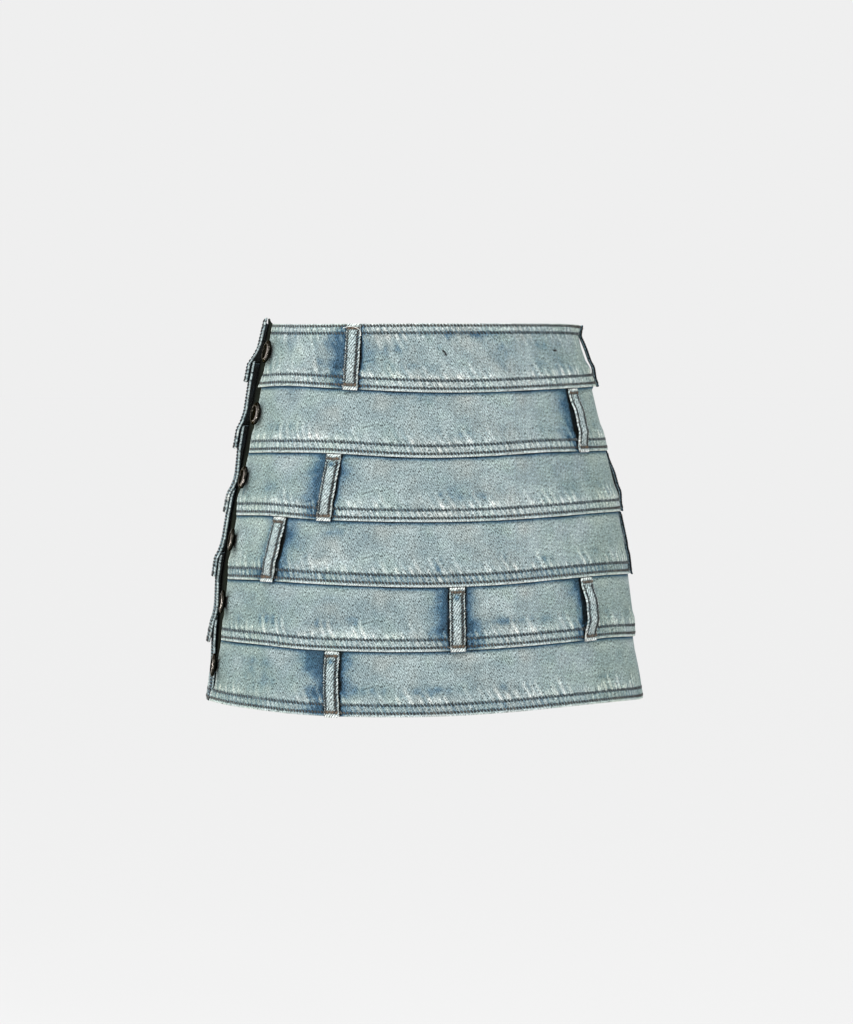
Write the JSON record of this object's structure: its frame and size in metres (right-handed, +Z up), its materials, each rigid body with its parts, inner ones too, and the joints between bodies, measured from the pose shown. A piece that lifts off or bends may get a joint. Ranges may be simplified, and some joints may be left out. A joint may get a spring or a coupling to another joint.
{
  "type": "denim skirt",
  "caption": "Worn-shape denim mini skirt of lapped waistband-like tiers with belt loops and a buttoned opening at one side.",
  "frame": {"origin": "middle of the waist opening, level with the waist's top edge, where the wearer holds the skirt up", "axes": "+Z up out of the waist, +X to the wearer's left (the side seam), -Y the front; the buttoned opening is at -X"},
  "size_m": [0.3709, 0.2704, 0.3261],
  "materials": {
    "washed_denim": "light blue-grey stone-washed denim twill",
    "dark_denim": "near-black denim strip",
    "antique_copper": "dark antique copper jeans button"
  },
  "bodies": {
    "root": {"front_tier_1": "washed_denim", "front_tier_2": "washed_denim", "front_tier_3": "washed_denim", "front_tier_4": "washed_denim", "front_tier_5": "washed_denim", "front_tier_6": "washed_denim", "back_tier_1": "washed_denim", "back_tier_2": "washed_denim", "back_tier_3": "washed_denim", "back_tier_4": "washed_denim", "back_tier_5": "washed_denim", "back_tier_6": "washed_denim", "button_stand": "dark_denim", "button_1": "antique_copper", "button_2": "antique_copper", "button_3": "antique_copper", "button_4": "antique_copper", "button_5": "antique_copper", "button_6": "antique_copper", "loop_1_front": "washed_denim", "loop_1_left": "washed_denim", "loop_1_back": "washed_denim", "loop_1_back_right": "washed_denim", "loop_2_left": "washed_denim", "loop_2_back": "washed_denim", "loop_2_right": "washed_denim", "loop_3_front": "washed_denim", "loop_3_left": "washed_denim", "loop_3_back": "washed_denim", "loop_4_right": "washed_denim", "loop_4_left": "washed_denim", "loop_4_back": "washed_denim", "loop_5_front": "washed_denim", "loop_5_left": "washed_denim", "loop_5_back": "washed_denim", "loop_6_front": "washed_denim", "loop_6_back": "washed_denim", "loop_6_back_right": "washed_denim"}
  },
  "joints": []
}
